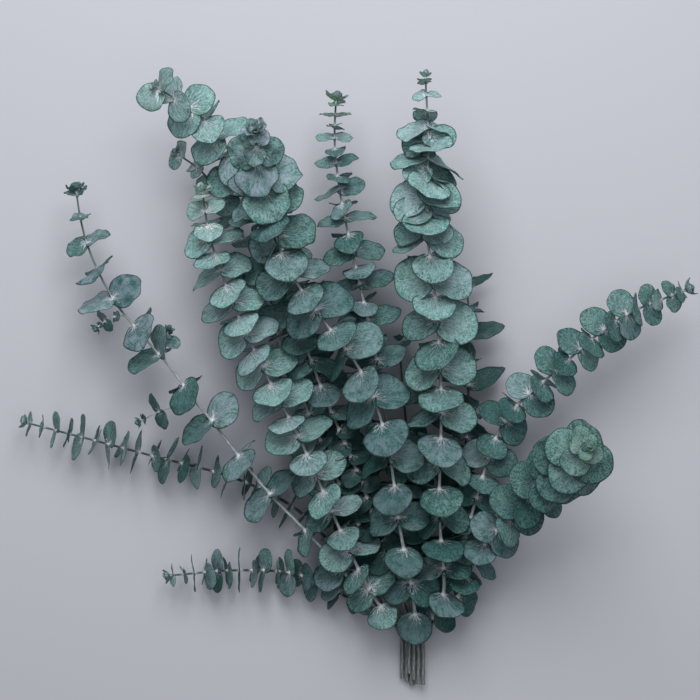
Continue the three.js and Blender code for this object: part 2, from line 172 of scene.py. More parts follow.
def read_stem(node):
    """A stem as joints along its stalk, each tied to the one before it, and its leaves with their frames."""
    corners, triangles = plain_mesh(node)
    blades = find_blades(corners, triangles)
    leafy = {c for blade in blades for rim in blade["rims"] for c in rim[BLADE_CORNERS]}
    leafy |= {c for blade in blades for c in blade["middles"]}
    links = defaultdict(set)
    for triangle in triangles:
        if leafy.isdisjoint(triangle):
            for a, b in zip(triangle, np.roll(triangle, 1)):
                links[a].add(b)
                links[b].add(a)
    for blade in blades:
        for a, b in zip(blade["rims"][0], blade["rims"][1][::-1]):
            if a not in leafy and b not in leafy:
                links[a].add(b)
                links[b].add(a)
    woody = sorted(links)
    cut = [c for c in woody if corners[c][1] < corners[woody][:, 1].min() + CUT_DEPTH]
    far = walk_from_cut(corners, links, cut)
    group = {}
    joints = []
    for corner in sorted(woody, key=lambda c: far[c]):
        if corner in group:
            continue
        members = [corner]
        group[corner] = len(joints)
        for member in members:
            for other in links[member]:
                if other not in group and np.linalg.norm(corners[other] - corners[member]) < SAME_RING:
                    group[other] = len(joints)
                    members.append(other)
        joints.append({"place": corners[members].mean(axis=0), "far": far[members].mean(), "before": None})
    for corner in woody:
        for other in links[corner]:
            here, there = group[corner], group[other]
            if joints[there]["far"] < joints[here]["far"] - NEXT_RING:
                known = joints[here]["before"]
                if known is None or joints[there]["far"] > joints[known]["far"]:
                    joints[here]["before"] = there
    leaves = []
    for blade in blades:
        roots = [corners[[rim[k] for k in ROOT_CORNERS]].mean(axis=0) for rim in blade["rims"]]
        upper = int(far[blade["rims"][1][0]] > far[blade["rims"][0][0]])
        rim = blade["rims"][upper]
        tip = (corners[blade["rims"][0][TIP_CORNER]] + corners[blade["rims"][1][TIP_CORNER]]) / 2
        root = (roots[0] + roots[1]) / 2
        face = corners[blade["middles"][upper]] - corners[blade["middles"][1 - upper]]
        face /= np.linalg.norm(face)
        along = tip - root
        length = np.linalg.norm(along)
        along /= length
        across = np.cross(along, face)
        one, other = (corners[rim[k]] for k in WIDE_CORNERS)
        width = np.linalg.norm(one - other) / math.sin(WIDEST_CORNER)
        middle = (corners[blade["middles"][0]] + corners[blade["middles"][1]]) / 2
        joint = group[rim[0]]
        leaves.append({
            "root": root,
            "along": along,
            "across": across,
            "face": face,
            "length": length,
            "width": width,
            "depth": float(np.dot(middle - (root + tip) / 2, face)),
            "joint": joint,
            "far": joints[joint]["far"],
        })
    return joints, leaves


def smooth_route(places):
    """A smooth line through the places, with a point about every step."""
    places = np.vstack([2 * places[0] - places[1], places, 2 * places[-1] - places[-2]])
    points = []
    owners = []
    for i in range(1, len(places) - 2):
        a, b, c, d = places[i - 1:i + 3]
        count = max(2, int(np.linalg.norm(c - b) / STALK_STEP))
        for k in range(count):
            t = k / count
            points.append(0.5 * (2 * b + (c - a) * t + (2 * a - 5 * b + 4 * c - d) * t ** 2
                                 + (3 * b - a - 3 * c + d) * t ** 3))
            owners.append(i - 1 + t)
    points.append(places[-2])
    owners.append(len(places) - 3.0)
    return np.array(points), np.array(owners)


def stalk_rings(points, radii):
    """Round rings along a line, square to it."""
    ahead = np.gradient(points, axis=0)
    ahead /= np.linalg.norm(ahead, axis=1)[:, None]
    side = np.cross(ahead[0], [0, 0, 1.0])
    if np.linalg.norm(side) < 0.1:
        side = np.cross(ahead[0], [0, 1.0, 0])
    rings = []
    angles = np.linspace(0, 2 * math.pi, STALK_SIDES, endpoint=False)
    for point, forward, radius in zip(points, ahead, radii):
        side = side - forward * np.dot(side, forward)
        side /= np.linalg.norm(side)
        up = np.cross(side, forward)
        rings.append(point + radius * (np.outer(np.cos(angles), side) + np.outer(np.sin(angles), up)))
    return np.array(rings)


def new_object(name, corners, faces, material, values):
    """A smooth mesh object in metres, with the values that its material reads at each corner."""
    mesh = bpy.data.meshes.new(name)
    mesh.from_pydata(corners * MM, [], faces)
    for key, data in values.items():
        kind = "FLOAT_VECTOR" if data.ndim == 2 else "FLOAT"
        field = "vector" if data.ndim == 2 else "value"
        mesh.attributes.new(key, kind, "POINT").data.foreach_set(field, data.astype(np.float32).ravel())
    mesh.polygons.foreach_set("use_smooth", np.ones(len(mesh.polygons), dtype=bool))
    mesh.materials.append(material)
    piece = bpy.data.objects.new(name, mesh)
    bpy.context.scene.collection.objects.link(piece)
    return piece


def linear(hex_colour):
    """An sRGB hex value as a linear colour."""
    parts = [int(hex_colour[i:i + 2], 16) / 255 for i in (1, 3, 5)]
    return [p / 12.92 if p <= 0.04045 else ((p + 0.055) / 1.055) ** 2.4 for p in parts] + [1.0]


def add(tree, kind, links, out=0, **settings):
    """One node with its settings, given back as its output; links are sockets to join or plain values."""
    node = tree.nodes.new("ShaderNode" + kind)
    for key, value in settings.items():
        setattr(node, key, value)
    for key, value in links.items():
        if isinstance(value, bpy.types.NodeSocket):
            tree.links.new(value, node.inputs[key])
        else:
            node.inputs[key].default_value = value
    return node.outputs[out] if node.outputs else None


def new_material(name, roughness, ior):
    """A material with its tree and its surface shader."""
    material = bpy.data.materials.new(name)
    material.use_nodes = True
    tree = material.node_tree
    tree.nodes.clear()
    shader = tree.nodes.new("ShaderNodeBsdfPrincipled")
    shader.inputs["Roughness"].default_value = roughness
    shader.inputs["IOR"].default_value = ior
    add(tree, "OutputMaterial", {"Surface": shader.outputs["BSDF"]})
    return material, tree, shader


# Waxed young bark: dark streaks run along the pale skin, the wax lies white round the joints and thin between
# them, and the youngest length toward the tip is still green. The sides of each stalk, where the surface
# turns away from straight up, are painted darker as shade. The streaks' pattern is laid six units round the
# stalk and stretched seven times along it; real ones are finer than the render shows.
BARK_BROWN = "#535851"
BARK_DARK = "#2B302D"
BARK_YOUNG = "#4E6B66"
WAX_PALE = "#B4C2C4"
WAX_WHITE = "#E8F0F4"
STREAK_MM = 0.9
STREAK_ROUND = 6.0
STREAK_STRETCH = 7
bark, tree, shader = new_material("waxed_young_bark", roughness=0.72, ior=1.47)
place = add(tree, "Attribute", {}, out="Vector", attribute_name="stalk_mm")
wax = add(tree, "Attribute", {}, out="Fac", attribute_name="stalk_wax")
young = add(tree, "Attribute", {}, out="Fac", attribute_name="stalk_young")
streak = add(tree, "TexNoise", {"Vector": place, "Scale": 1 / STREAK_MM, "Detail": 3.0}, out="Fac")
brown = add(tree, "Mix", {0: streak, 6: linear(BARK_DARK), 7: linear(BARK_BROWN)}, out=2, data_type="RGBA")
thin = add(tree, "MapRange", {"Value": streak, "From Min": 0.42, "From Max": 0.62, "To Max": 0.8})
waxed = add(tree, "MapRange", {"Value": wax, "From Max": BARE_WAX, "To Min": 0.2, "To Max": 1.0})
streaked = add(tree, "Math", {0: thin, 1: waxed}, operation="MULTIPLY")
skin = add(tree, "Mix", {0: streaked, 6: brown, 7: linear(WAX_PALE)}, out=2, data_type="RGBA")
dark_bark = add(tree, "MapRange", {"Value": wax, "From Max": 0.1, "To Min": 0.7, "To Max": 0.0})
skin = add(tree, "Mix", {0: dark_bark, 6: skin, 7: linear(BARK_DARK)}, out=2, data_type="RGBA")
skin = add(tree, "Mix", {0: young, 6: skin, 7: linear(BARK_YOUNG)}, out=2, data_type="RGBA")
normal = add(tree, "NewGeometry", {}, out="Normal")
# Painted shade: the sides of each stalk, where its surface turns away from straight up, are darkened toward
# the dark bark colour
upward = add(tree, "SeparateXYZ", {"Vector": normal}, out="Z")
painted_side_shade = add(tree, "MapRange", {"Value": upward, "From Min": 0.8, "From Max": 0.4, "To Max": 0.85})
skin = add(tree, "Mix", {0: painted_side_shade, 6: skin, 7: linear(BARK_DARK)}, out=2, data_type="RGBA")
white = add(tree, "Mix", {0: wax, 6: skin, 7: linear(WAX_WHITE)}, out=2, data_type="RGBA")
ridges = add(tree, "Bump", {"Height": streak, "Strength": 0.35, "Distance": 0.2 * MM})
tree.links.new(white, shader.inputs["Base Color"])
tree.links.new(ridges, shader.inputs["Normal"])

# Pairs that the imported solids leave out: small dark leaves deep in the bunch, whose darkness is painted
# shade, and a denser nest of leaves near the tall stem's tip. The values are where on the stalk they start
# and end, the step between tries and the leaf's width, in millimetres; a pair grows where no other leaves are
# near on the stalk.
EXTRA_PAIRS = {
    "stem_inner_left": (94, 250, 12, 21), "stem_inner_middle": (94, 205, 12, 21),
    "stem_inner_right": (94, 215, 12, 21), "stem_top_left": (105, 236, 12, 21),
    "stem_slender_left": (105, 186, 12, 21), "stem_top_middle": (100, 138, 12, 21),
    "stem_tall": (384, 470, 1, 29),
}
EXTRA_CLEAR = 6.5
EXTRA_TURN = math.radians(30)
EXTRA_BENT_BACK = (0.2, 0.6)
EXTRA_FACED_UP = (0.7, 1.6)
EXTRA_WIDTHS = (0.8, 1.15)
EXTRA_CUP = -0.08
LENGTH_TO_WIDTH = 0.95
EXTRA_SEED = 12
extra_random = np.random.RandomState(EXTRA_SEED)


def extra_pair(place, ahead, far, turn, widest):
    """Two leaves across the stalk from each other, bent back, their upper sides turned up to the light."""
    ahead = ahead / np.linalg.norm(ahead)
    side = np.cross(ahead, [0, 0, 1.0])
    side /= np.linalg.norm(side)
    pair = []
    for way in (-1, 1):
        out = way * (side * math.cos(turn) + np.cross(side, ahead) * math.sin(turn))
        along = out - extra_random.uniform(*EXTRA_BENT_BACK) * ahead
        along /= np.linalg.norm(along)
        face = ahead + np.array([0, 0, extra_random.uniform(*EXTRA_FACED_UP)])
        face -= along * np.dot(face, along)
        face /= np.linalg.norm(face)
        width = widest * extra_random.uniform(*EXTRA_WIDTHS)
        pair.append({
            "root": place,
            "along": along,
            "across": np.cross(along, face),
            "face": face,
            "length": width * LENGTH_TO_WIDTH,
            "width": width,
            "depth": width * EXTRA_CUP,
            "far": far,
        })
    return pair


stems = {}
for node in sorted(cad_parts):
    joints, leaves = read_stem(node)
    stems[node] = {"leaves": leaves}
    leafy_joints = {leaf["joint"] for leaf in leaves}
    followed = {joint["before"] for joint in joints}
    taken = set()
    tubes = []
    tips = []
    extra = []
    for end in sorted((i for i in range(len(joints)) if i not in followed), key=lambda i: -joints[i]["far"]):
        chain = [end]
        while joints[chain[-1]]["before"] is not None:
            chain.append(joints[chain[-1]]["before"])
            if chain[-1] in taken:
                break
        is_shoot = chain[-1] in taken
        taken.update(chain)
        chain.reverse()
        if len(chain) < 3:
            continue
        route, owners = smooth_route(np.array([joints[i]["place"] for i in chain]))
        tip_ahead = (route[-1] - route[-3]) / np.linalg.norm(route[-1] - route[-3])
        bud = route[-1] + np.outer([step * BUD_LENGTH for step, _ in BUD_SHAPE], tip_ahead)
        gone = np.concatenate([[0], np.cumsum(np.linalg.norm(np.diff(route, axis=0), axis=1))])
        start = joints[chain[0]]["far"]
        share = (start + gone) / (start + gone[-1]) if is_shoot else gone / gone[-1]
        radii = (BUTT_RADIUS + (TIP_RADIUS - BUTT_RADIUS) * share) * (SHOOT_SHARE if is_shoot else 1)
        nearest = np.full(len(route), NO_JOINT_NEAR)
        for k, joint in enumerate(chain):
            if joint in leafy_joints:
                nearest = np.minimum(nearest, np.abs(gone - np.interp(k, owners, gone)))
        if node in EXTRA_PAIRS and not is_shoot:
            *stretch, widest = EXTRA_PAIRS[node]
            for far in np.arange(*stretch):
                i = int(np.argmin(np.abs(start + gone - far)))
                if nearest[i] > EXTRA_CLEAR:
                    turn = EXTRA_TURN * (1 - len(extra) % 4)
                    extra += extra_pair(route[i], route[i + 1] - route[i - 1], far, turn, widest)
                    nearest = np.minimum(nearest, np.abs(gone - gone[i]))
        swell = np.exp(-(nearest / JOINT_REACH) ** 2)
        bud_radii = [radii[-1] * size for _, size in BUD_SHAPE]
        radii = np.concatenate([radii * (1 + JOINT_SWELL * swell), bud_radii])
        route = np.vstack([route, bud])
        gone = np.concatenate([gone, gone[-1] + [step * BUD_LENGTH for step, _ in BUD_SHAPE]])
        nearest = np.concatenate([nearest, np.full(len(bud), JOINT_REACH)])
        leafless = min(leaf["far"] for leaf in leaves)
        leafy_wax = 0.0 if node in DARK_STALKS else BARE_WAX
        bare = np.where(start + gone < leafless, LEAFLESS_SHARE * BARE_WAX, leafy_wax)
        youth = YOUNG_GREEN * np.clip((gone / gone[-1] - YOUNG_FROM) / YOUNG_FADE, 0, 1)
        wax_there = bare * (1 - youth) + (JOINT_WAX - bare) * np.exp(-(nearest / WAX_REACH) ** 2)
        wax_there *= 1 - YOUNG_WAX_LOSS * youth
        tubes.append((route, radii, gone, wax_there, youth))
        tips.append({"place": bud[0], "ahead": tip_ahead, "is_shoot": is_shoot})
    for number in range(CLOSED_BUDS.get(node, 0)):
        lead = max(tips, key=lambda tip: not tip["is_shoot"])
        aside = np.cross(lead["ahead"], [0.2, 0.1, 1.0]) * (1 - 2 * number)
        out = lead["ahead"] + CLOSED_BUD_LEAN * aside / np.linalg.norm(aside)
        steps, sizes = np.array(CLOSED_BUD_SHAPE).T
        line = lead["place"] + np.outer(steps, out / np.linalg.norm(out))
        tubes.append((line, sizes, steps, sizes / FULL_WAX_RADIUS, np.full(len(steps), CLOSED_BUD_YOUTH)))
    stems[node]["tips"] = tips
    stems[node]["extra"] = extra
    corners = []
    faces = []
    along_mm = []
    for line, radii, gone, _, _ in tubes:
        base = sum(len(part) for part in corners)
        corners.append(stalk_rings(line, radii).reshape(-1, 3))
        for i in range(len(line) - 1):
            for k in range(STALK_SIDES):
                a = base + i * STALK_SIDES + k
                b = base + i * STALK_SIDES + (k + 1) % STALK_SIDES
                faces.append((a, b, b + STALK_SIDES, a + STALK_SIDES))
        faces.append(tuple(base + k for k in range(STALK_SIDES))[::-1])
        faces.append(tuple(base + (len(line) - 1) * STALK_SIDES + k for k in range(STALK_SIDES)))
        turn = np.tile(np.linspace(0, STREAK_ROUND, STALK_SIDES), len(line))
        run = np.repeat(gone / STREAK_STRETCH, STALK_SIDES)
        along_mm.append(np.column_stack([turn, run, np.zeros(len(turn))]))
    wax_share = np.concatenate([np.repeat(tube[3], STALK_SIDES) for tube in tubes])
    young_share = np.concatenate([np.repeat(tube[4], STALK_SIDES) for tube in tubes])
    piece = new_object(f"{node}_stalk", np.vstack(corners), faces, bark,
                       {"stalk_mm": np.vstack(along_mm), "stalk_wax": wax_share, "stalk_young": young_share})
    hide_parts(node)
    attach(piece, "root")

# The leaves
# Round dried blades in crossed pairs, sitting straight on the stalk with a heart-shaped foot. They are
# stiff and thin, a little cupped or bent back, dull blue green, with a dusting of wax round the foot.
LEAF_ROUND = 42
LEAF_RINGS = 6
FOOT_CROWDING = 0.35
RIM_CROWDING = 0.8
LEAF_THICKNESS = 0.5
RIM_THICKNESS = 0.2
FOOT_SINK = 1.2
LOBE_SHARE = 0.15
NOTCH_HALF_ANGLE = 0.15
POINT_HALF_ANGLE = 0.3
FOLD_SHARE = 0.05
FOLD_ROUNDING = 0.02
FOLD_DIP = 0.14
DROOP = (-0.02, 0.1)
DROOP_FROM = 0.35
FULL_BLOOM_WIDTH = 26.0
PATTERN_SPREAD_MM = 400
LOWER_SIDE_SHIFT_MM = 37

# Lobes of the outline: how many go round and how deep they are, on every leaf and on crumpled ones. Waves
# of the rim likewise, and the creases that crumpled leaves have across and along them
OUTLINE_LOBES = ((2, 0.03), (3, 0.025), (6, 0.012))
CRUMPLED_LOBES = ((4, 0.02), (7, 0.015))
RIM_WAVES = ((2, 1.0), (3, 0.7), (7, 0.4))
CREASES_ACROSS = 9
CREASES_ALONG = 8
CREASE_DEPTH = 0.05
CRUMPLED_WAVE = 0.03

turns = np.linspace(-1, 1, LEAF_ROUND, endpoint=False)
angles = math.pi * turns + FOOT_CROWDING * np.sin(math.pi * turns)
levels = (np.arange(1, LEAF_RINGS + 1) / LEAF_RINGS) ** RIM_CROWDING


def leaf_faces():
    """Faces of one leaf: the upper side, the lower side and the rim that joins them."""
    side = 1 + LEAF_RINGS * LEAF_ROUND
    faces = []
    for k in range(LEAF_ROUND):
        n = (k + 1) % LEAF_ROUND
        faces.append((0, 1 + n, 1 + k))
        faces.append((side, side + 1 + k, side + 1 + n))
        for r in range(LEAF_RINGS - 1):
            a = 1 + r * LEAF_ROUND
            b = a + LEAF_ROUND
            faces.append((a + k, a + n, b + n, b + k))
            faces.append((side + a + n, side + a + k, side + b + k, side + b + n))
        rim = 1 + (LEAF_RINGS - 1) * LEAF_ROUND
        faces.append((rim + k, rim + n, side + rim + n, side + rim + k))
    return faces


ONE_LEAF = leaf_faces()


def grow_leaf(leaf, random):
    """Corners of one leaf in millimetres, then its own place, its share and its way from the foot."""
    length = leaf["length"]
    width = leaf["width"]
    phase = random.uniform(0, 2 * math.pi, 6)
    wobble = 1
    for (count, size), start in zip(OUTLINE_LOBES, phase):
        wobble = wobble + size * np.sin(count * angles + start)
    lobes = 0
    for (count, size), start in zip(CRUMPLED_LOBES, phase[3:]):
        lobes = lobes + size * np.sin(count * angles + start)
    wobble += leaf["crumple"] * lobes
    from_foot = math.pi - np.abs(angles)
    notch = np.exp(-(from_foot / NOTCH_HALF_ANGLE) ** 4)
    outline_l = (1 - LOBE_SHARE) / 2 + (1 + LOBE_SHARE) / 2 * np.cos(angles) * wobble
    outline_l = outline_l * (1 - notch) - notch * FOOT_SINK / length
    outline_l += leaf["point"] * np.exp(-(np.abs(angles) / POINT_HALF_ANGLE) ** 2)
    outline_s = 0.5 * np.sin(angles) * wobble * (1 - 2 * leaf["point"])
    lengthways = np.concatenate([[0.5], (0.5 + np.outer(levels, outline_l - 0.5)).ravel()])
    sideways = np.concatenate([[0.0], np.outer(levels, outline_s).ravel()])
    level = np.concatenate([[0.0], np.repeat(levels, LEAF_ROUND)])
    angle = np.concatenate([[0.0], np.tile(angles, LEAF_RINGS)])
    rim = (2 * np.maximum(lengthways, 0) - 1) ** 2 + (2 * sideways) ** 2
    crease = np.sqrt((2 * sideways) ** 2 + FOLD_ROUNDING) - FOLD_DIP
    lift = leaf["depth"] * (1 - rim) + FOLD_SHARE * width * crease
    waves = 0
    for (count, size), start in zip(RIM_WAVES, phase[3:]):
        waves = waves + size * np.sin(count * angle + start)
    creases = np.sin(CREASES_ACROSS * sideways + phase[0]) * np.cos(CREASES_ALONG * lengthways + phase[1])
    lift += leaf["wave"] * width * waves * level ** 3 * np.clip(lengthways * 3, 0, 1)
    lift += leaf["crumple"] * width * (CREASE_DEPTH * creases + CRUMPLED_WAVE * waves * level ** 2)
    lift -= random.uniform(*DROOP) * length * np.clip(lengthways - DROOP_FROM, 0, 1) ** 2
    middle = leaf["root"] + np.outer(lengthways * length, leaf["along"])
    middle += np.outer(sideways * width, leaf["across"]) + np.outer(lift, leaf["face"])
    half = (RIM_THICKNESS + (LEAF_THICKNESS - RIM_THICKNESS) * (1 - level ** 4)) / 2
    upper = middle + np.outer(half, leaf["face"])
    lower = middle - np.outer(half, leaf["face"])
    own = random.uniform(0, PATTERN_SPREAD_MM, 3)
    flat = np.column_stack([sideways * width, lengthways * length, np.zeros(len(level))])
    share = np.column_stack([2 * sideways, lengthways, level])
    sides = np.vstack([upper, lower])
    sides[:, 2] = np.maximum(sides[:, 2], 0.0)
    from_foot_mm = np.tile(np.hypot(flat[:, 0], flat[:, 1]), 2) * max(1.0, FULL_BLOOM_WIDTH / width)
    own_mm = np.vstack([flat + own, flat + own + LOWER_SIDE_SHIFT_MM])
    return sides, own_mm, np.vstack([share, share]), from_foot_mm


# Dried leaf, dyed and waxed: a matt blue-green skin, greener toward the rim, grainy with fine dark and pale
# cells, with dark veins that fan out from the foot, a small white bloom where the leaf meets the stalk, dark
# specks, and a thin dark rim that is partly the leaf's own margin and partly painted edge shade. Real cells
# are a few tenths of a millimetre wide and the net of veins about one, so the grain and the net are drawn as
# coarse as they need to be to show.
LEAF_YOUNG = "#70B0A9"
# The dark end of the leaf tone: partly older leaves, partly painted shade low in the bunch
LEAF_OLD_AND_SHADED = "#295552"
LEAF_DEEP = "#244B49"
LEAF_LIGHT = "#BED2D6"
# The pale marks at that dark end, likewise partly age and partly painted shade
LEAF_OLD_AND_SHADED_LIGHT = "#588585"
LEAF_EDGE = "#3C9884"
# Dark cells and veins, and also the painted shade on the darkest-toned leaves
LEAF_DARK_CELL_AND_SHADE = "#1C3735"
LEAF_UNDER = "#48706B"
LEAF_FRESH = "#5A9A62"
LEAF_FRESH_PALE = "#A9C08A"
LEAF_LILAC = "#A0A8BD"
LEAF_BLOOM = "#F0F2FA"
LEAF_RIM = "#1E3835"
GRAIN_MM = 1.05
NET_MM = 2.8
CLOUD_MM = 9.0
SPECK_MM = 2.6
BLOOM_MM = 3.2
BLOOM_FADE_MM = 2.2
VEIN_COUNT = 9
STREAK_LENGTH_MM = 9.0
leaf_skin, tree, shader = new_material("dried_eucalyptus_leaf", roughness=0.66, ior=1.45)
flat = add(tree, "Attribute", {}, out="Vector", attribute_name="leaf_mm")
foot = add(tree, "Attribute", {}, out="Fac", attribute_name="leaf_foot_mm")
share = add(tree, "Attribute", {}, out="Vector", attribute_name="leaf_share")
across_share = add(tree, "SeparateXYZ", {"Vector": share}, out="X")
along_share = add(tree, "SeparateXYZ", {"Vector": share}, out="Y")
rim_share = add(tree, "SeparateXYZ", {"Vector": share}, out="Z")
tone = add(tree, "Attribute", {}, out="Vector", attribute_name="leaf_tone")
lightness = add(tree, "SeparateXYZ", {"Vector": tone}, out="X")
freshness = add(tree, "SeparateXYZ", {"Vector": tone}, out="Y")
underside = add(tree, "SeparateXYZ", {"Vector": tone}, out="Z")
lilac = add(tree, "Attribute", {}, out="Fac", attribute_name="leaf_lilac")

# Clouds of deeper and paler green over the whole blade, greyer toward the foot and greener at the rim
cloud = add(tree, "TexNoise", {"Vector": flat, "Scale": 1 / CLOUD_MM, "Detail": 4.0}, out="Fac")
deep = add(tree, "MapRange", {"Value": cloud, "From Min": 0.44, "From Max": 0.64, "To Max": 0.75})
# Darker-toned leaves, partly older and partly painted as shaded, show more of the deep clouds, dark cells and
# dark streaks
aged_and_shaded = add(tree, "MapRange", {"Value": lightness, "To Min": 1.0, "To Max": 0.45})
aged_and_shaded_deep = add(tree, "Math", {0: deep, 1: aged_and_shaded}, operation="MULTIPLY")
near_foot = add(tree, "MapRange", {"Value": foot, "From Min": 25.0, "From Max": 3.0, "To Max": 0.42})
near_rim = add(tree, "MapRange", {"Value": rim_share, "From Min": 0.55, "From Max": 0.95, "To Max": 0.55})
patchy = add(tree, "MapRange", {"Value": cloud, "From Min": 0.6, "From Max": 0.44})
lilac_patch = add(tree, "Math", {0: patchy, 1: lilac}, operation="MULTIPLY")
colour = add(tree, "Mix", {0: lightness, 6: linear(LEAF_OLD_AND_SHADED), 7: linear(LEAF_YOUNG)}, out=2, data_type="RGBA")
light = add(tree, "Mix", {0: lightness, 6: linear(LEAF_OLD_AND_SHADED_LIGHT), 7: linear(LEAF_LIGHT)}, out=2,
            data_type="RGBA")
colour = add(tree, "Mix", {0: underside, 6: colour, 7: linear(LEAF_UNDER)}, out=2, data_type="RGBA")
colour = add(tree, "Mix", {0: aged_and_shaded_deep, 6: colour, 7: linear(LEAF_DEEP)}, out=2, data_type="RGBA")
colour = add(tree, "Mix", {0: near_foot, 6: colour, 7: light}, out=2, data_type="RGBA")
colour = add(tree, "Mix", {0: near_rim, 6: colour, 7: linear(LEAF_EDGE)}, out=2, data_type="RGBA",
             blend_type="SOFT_LIGHT")
fresh = add(tree, "Mix", {0: lightness, 6: linear(LEAF_FRESH), 7: linear(LEAF_FRESH_PALE)}, out=2,
            data_type="RGBA")
colour = add(tree, "Mix", {0: freshness, 6: colour, 7: fresh}, out=2, data_type="RGBA")
colour = add(tree, "Mix", {0: lilac_patch, 6: colour, 7: linear(LEAF_LILAC)}, out=2, data_type="RGBA")

# Some leaves lean to teal instead: those have a lilac value below nought
teal = add(tree, "MapRange", {"Value": lilac, "From Min": 0.0, "From Max": -1.0, "To Max": 0.5})
colour = add(tree, "Mix", {0: teal, 6: colour, 7: linear(LEAF_EDGE)}, out=2, data_type="RGBA",
             blend_type="SOFT_LIGHT")

# Grain of dark and pale cells, with the net of small veins between them
grain = add(tree, "TexNoise", {"Vector": flat, "Scale": 1 / GRAIN_MM, "Detail": 3.0}, out="Fac")
dark_cells = add(tree, "MapRange", {"Value": grain, "From Min": 0.52, "From Max": 0.64, "To Max": 0.65})
pale_cells = add(tree, "MapRange", {"Value": grain, "From Min": 0.46, "From Max": 0.34, "To Max": 0.5})
bend = add(tree, "TexNoise", {"Vector": flat, "Scale": 1 / NET_MM}, out="Color")
bent = add(tree, "VectorMath", {0: bend, 1: (NET_MM, NET_MM, NET_MM)}, operation="MULTIPLY")
net_place = add(tree, "VectorMath", {0: flat, 1: bent}, operation="ADD")
net = add(tree, "TexVoronoi", {"Vector": net_place, "Scale": 1 / NET_MM}, out="Distance",
          feature="DISTANCE_TO_EDGE")
net_lines = add(tree, "MapRange", {"Value": net, "From Min": 0.12, "From Max": 0.0, "To Max": 0.7})
aged_and_shaded_cells = add(tree, "Math", {0: dark_cells, 1: aged_and_shaded}, operation="MULTIPLY")
colour = add(tree, "Mix", {0: aged_and_shaded_cells, 6: colour, 7: linear(LEAF_DARK_CELL_AND_SHADE)}, out=2, data_type="RGBA")
colour = add(tree, "Mix", {0: pale_cells, 6: colour, 7: light}, out=2, data_type="RGBA")
colour = add(tree, "Mix", {0: net_lines, 6: colour, 7: light}, out=2, data_type="RGBA")

# Streaks and veins, which fan out from the foot and fade toward the rim; the veins are dark near the foot
ahead_of_foot = add(tree, "Math", {0: along_share, 1: 0.06}, operation="ADD")
fan = add(tree, "Math", {0: across_share, 1: ahead_of_foot}, operation="ARCTAN2")
sway = add(tree, "Math", {0: cloud, 1: 0.9}, operation="MULTIPLY")
swayed = add(tree, "Math", {0: fan, 1: sway}, operation="ADD")
around = add(tree, "Math", {0: swayed, 1: VEIN_COUNT}, operation="MULTIPLY")
own = add(tree, "SeparateXYZ", {"Vector": flat}, out="Z")
outward = add(tree, "Math", {0: foot, 1: 1 / STREAK_LENGTH_MM}, operation="MULTIPLY")
polar = add(tree, "CombineXYZ", {"X": around, "Y": outward, "Z": own})
streaks = add(tree, "TexNoise", {"Vector": polar, "Scale": 1.5, "Detail": 3.0}, out="Fac")
dark_streaks = add(tree, "MapRange", {"Value": streaks, "From Min": 0.52, "From Max": 0.64, "To Max": 0.6})
pale_streaks = add(tree, "MapRange", {"Value": streaks, "From Min": 0.48, "From Max": 0.36, "To Max": 0.6})
aged_and_shaded_streaks = add(tree, "Math", {0: dark_streaks, 1: aged_and_shaded}, operation="MULTIPLY")
colour = add(tree, "Mix", {0: aged_and_shaded_streaks, 6: colour, 7: linear(LEAF_DEEP)}, out=2, data_type="RGBA")
colour = add(tree, "Mix", {0: pale_streaks, 6: colour, 7: light}, out=2, data_type="RGBA")
wave = add(tree, "Math", {0: around}, operation="COSINE")
ridge = add(tree, "Math", {0: wave, 1: 2.0}, operation="POWER")
thin_ridge = add(tree, "Math", {0: ridge, 1: 12.0}, operation="POWER")
to_rim = add(tree, "MapRange", {"Value": foot, "From Min": 17.0, "From Max": 5.0})
veins = add(tree, "Math", {0: thin_ridge, 1: to_rim}, operation="MULTIPLY")
vein_tint = add(tree, "Math", {0: veins, 1: 0.6}, operation="MULTIPLY")
colour = add(tree, "Mix", {0: vein_tint, 6: colour, 7: linear(LEAF_DARK_CELL_AND_SHADE)}, out=2, data_type="RGBA")

# Leaves whose tone is below nought, above all those of the inner stems and the extra pairs deep in the bunch,
# are painted darker all over as shade
shaded = add(tree, "MapRange", {"Value": lightness, "From Min": 0.0, "From Max": -1.0, "To Max": 0.65})
colour = add(tree, "Mix", {0: shaded, 6: colour, 7: linear(LEAF_DARK_CELL_AND_SHADE)}, out=2, data_type="RGBA")

# Wax bloom: a small white star at the foot, whose rays run between the veins and break up into the grain
grain_mm = add(tree, "Math", {0: grain, 1: -5.0}, operation="MULTIPLY")
ray = add(tree, "MapRange", {"Value": streaks, "From Min": 0.5, "From Max": 0.36, "To Max": 6.0})
reach_mm = add(tree, "Math", {0: grain_mm, 1: ray}, operation="ADD")
ragged = add(tree, "Math", {0: foot, 1: reach_mm}, operation="SUBTRACT")
bloom = add(tree, "MapRange", {"Value": ragged, "From Min": BLOOM_MM + BLOOM_FADE_MM, "From Max": BLOOM_MM,
                               "To Max": 0.95}, interpolation_type="SMOOTHSTEP")
# The bloom is fainter on darker-toned leaves, which are partly older and partly painted as shaded
bloom_by_age_and_shade = add(tree, "MapRange", {"Value": lightness, "From Min": -0.3, "From Max": 0.6, "To Min": 0.5})
bloom_tint = add(tree, "Math", {0: bloom, 1: bloom_by_age_and_shade}, operation="MULTIPLY")
colour = add(tree, "Mix", {0: bloom_tint, 6: colour, 7: linear(LEAF_BLOOM)}, out=2, data_type="RGBA")

